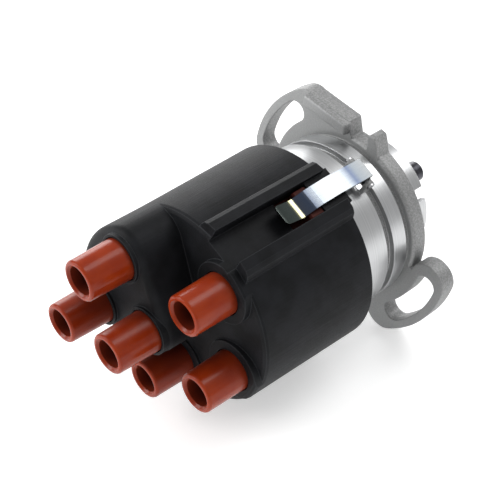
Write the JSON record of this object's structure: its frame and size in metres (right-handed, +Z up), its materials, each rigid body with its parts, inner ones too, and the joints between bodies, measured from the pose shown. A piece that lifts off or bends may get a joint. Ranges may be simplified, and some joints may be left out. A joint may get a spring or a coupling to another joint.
{
  "type": "ignition distributor",
  "caption": "Flange-mounted ignition distributor with lead towers, a two-piece cap held by spring clips, and a dog-driven shaft.",
  "frame": {"origin": "centre of the mounting flange's rear face, on the shaft's axis", "axes": "+Y along the shaft towards the drive dog, -Y towards the lead towers, +Z up as the part lies in its picture"},
  "size_m": [0.1058, 0.1601, 0.0949],
  "materials": {
    "cast_aluminium": "machined and as-cast",
    "black_moulding": "fine-textured satin",
    "terracotta_moulding": "semi-gloss",
    "zinc_spring_steel": "bright zinc plated",
    "steel": "ground",
    "dark_steel": "phosphated",
    "sintered_bronze": "sintered",
    "black_rubber": "matt",
    "brass": "satin",
    "tin_plate": "tinned",
    "carbon": "matt",
    "magnet": "matt",
    "black_plastic": "satin"
  },
  "bodies": {
    "fixed": {"housing": "cast_aluminium", "lower_bush": "sintered_bronze", "upper_bush": "sintered_bronze", "shaft_oil_seal": "black_rubber", "pilot_o_ring": "black_rubber", "sensor_plate": "tin_plate", "plate_screws": "steel", "hall_sensor": "black_plastic", "sensor_magnet": "magnet", "connector_socket": "black_plastic", "connector_blades": "tin_plate", "connector_screws": "steel", "dust_cover": "black_plastic", "inner_cap": "terracotta_moulding", "cap_shell": "black_moulding", "electrode_1": "brass", "electrode_2": "brass", "electrode_3": "brass", "electrode_4": "brass", "electrode_5": "brass", "centre_terminal": "brass", "carbon_brush": "carbon", "brush_spring": "steel", "clip_pin_front": "steel", "clip_pin_rear": "steel"},
    "shaft": {"distributor_shaft": "steel", "upper_thrust_washer": "steel", "lower_thrust_washer": "steel", "shaft_circlip": "dark_steel", "drive_dog": "dark_steel", "dog_pin": "steel", "dog_spring_ring": "dark_steel", "trigger_wheel": "tin_plate", "trigger_pin": "steel", "rotor_arm": "terracotta_moulding", "rotor_contact": "brass"},
    "front_clip": {"clip_front": "zinc_spring_steel"},
    "rear_clip": {"clip_rear": "zinc_spring_steel"}
  },
  "joints": [
    {"name": "shaft_spin", "type": "hinge", "parent": "fixed", "child": "shaft", "pos_m": [0, 0, 0], "axis": [0, 1, 0], "continuous": true},
    {"name": "clip_front_hinge", "type": "hinge", "parent": "fixed", "child": "front_clip", "pos_m": [0.0183, -0.021, 0.03546], "axis": [-0.8886, 0, 0.4587], "range_deg": [0, 95]},
    {"name": "clip_rear_hinge", "type": "hinge", "parent": "fixed", "child": "rear_clip", "pos_m": [-0.0183, -0.021, -0.03546], "axis": [0.8886, 0, -0.4587], "range_deg": [0, 95]}
  ]
}
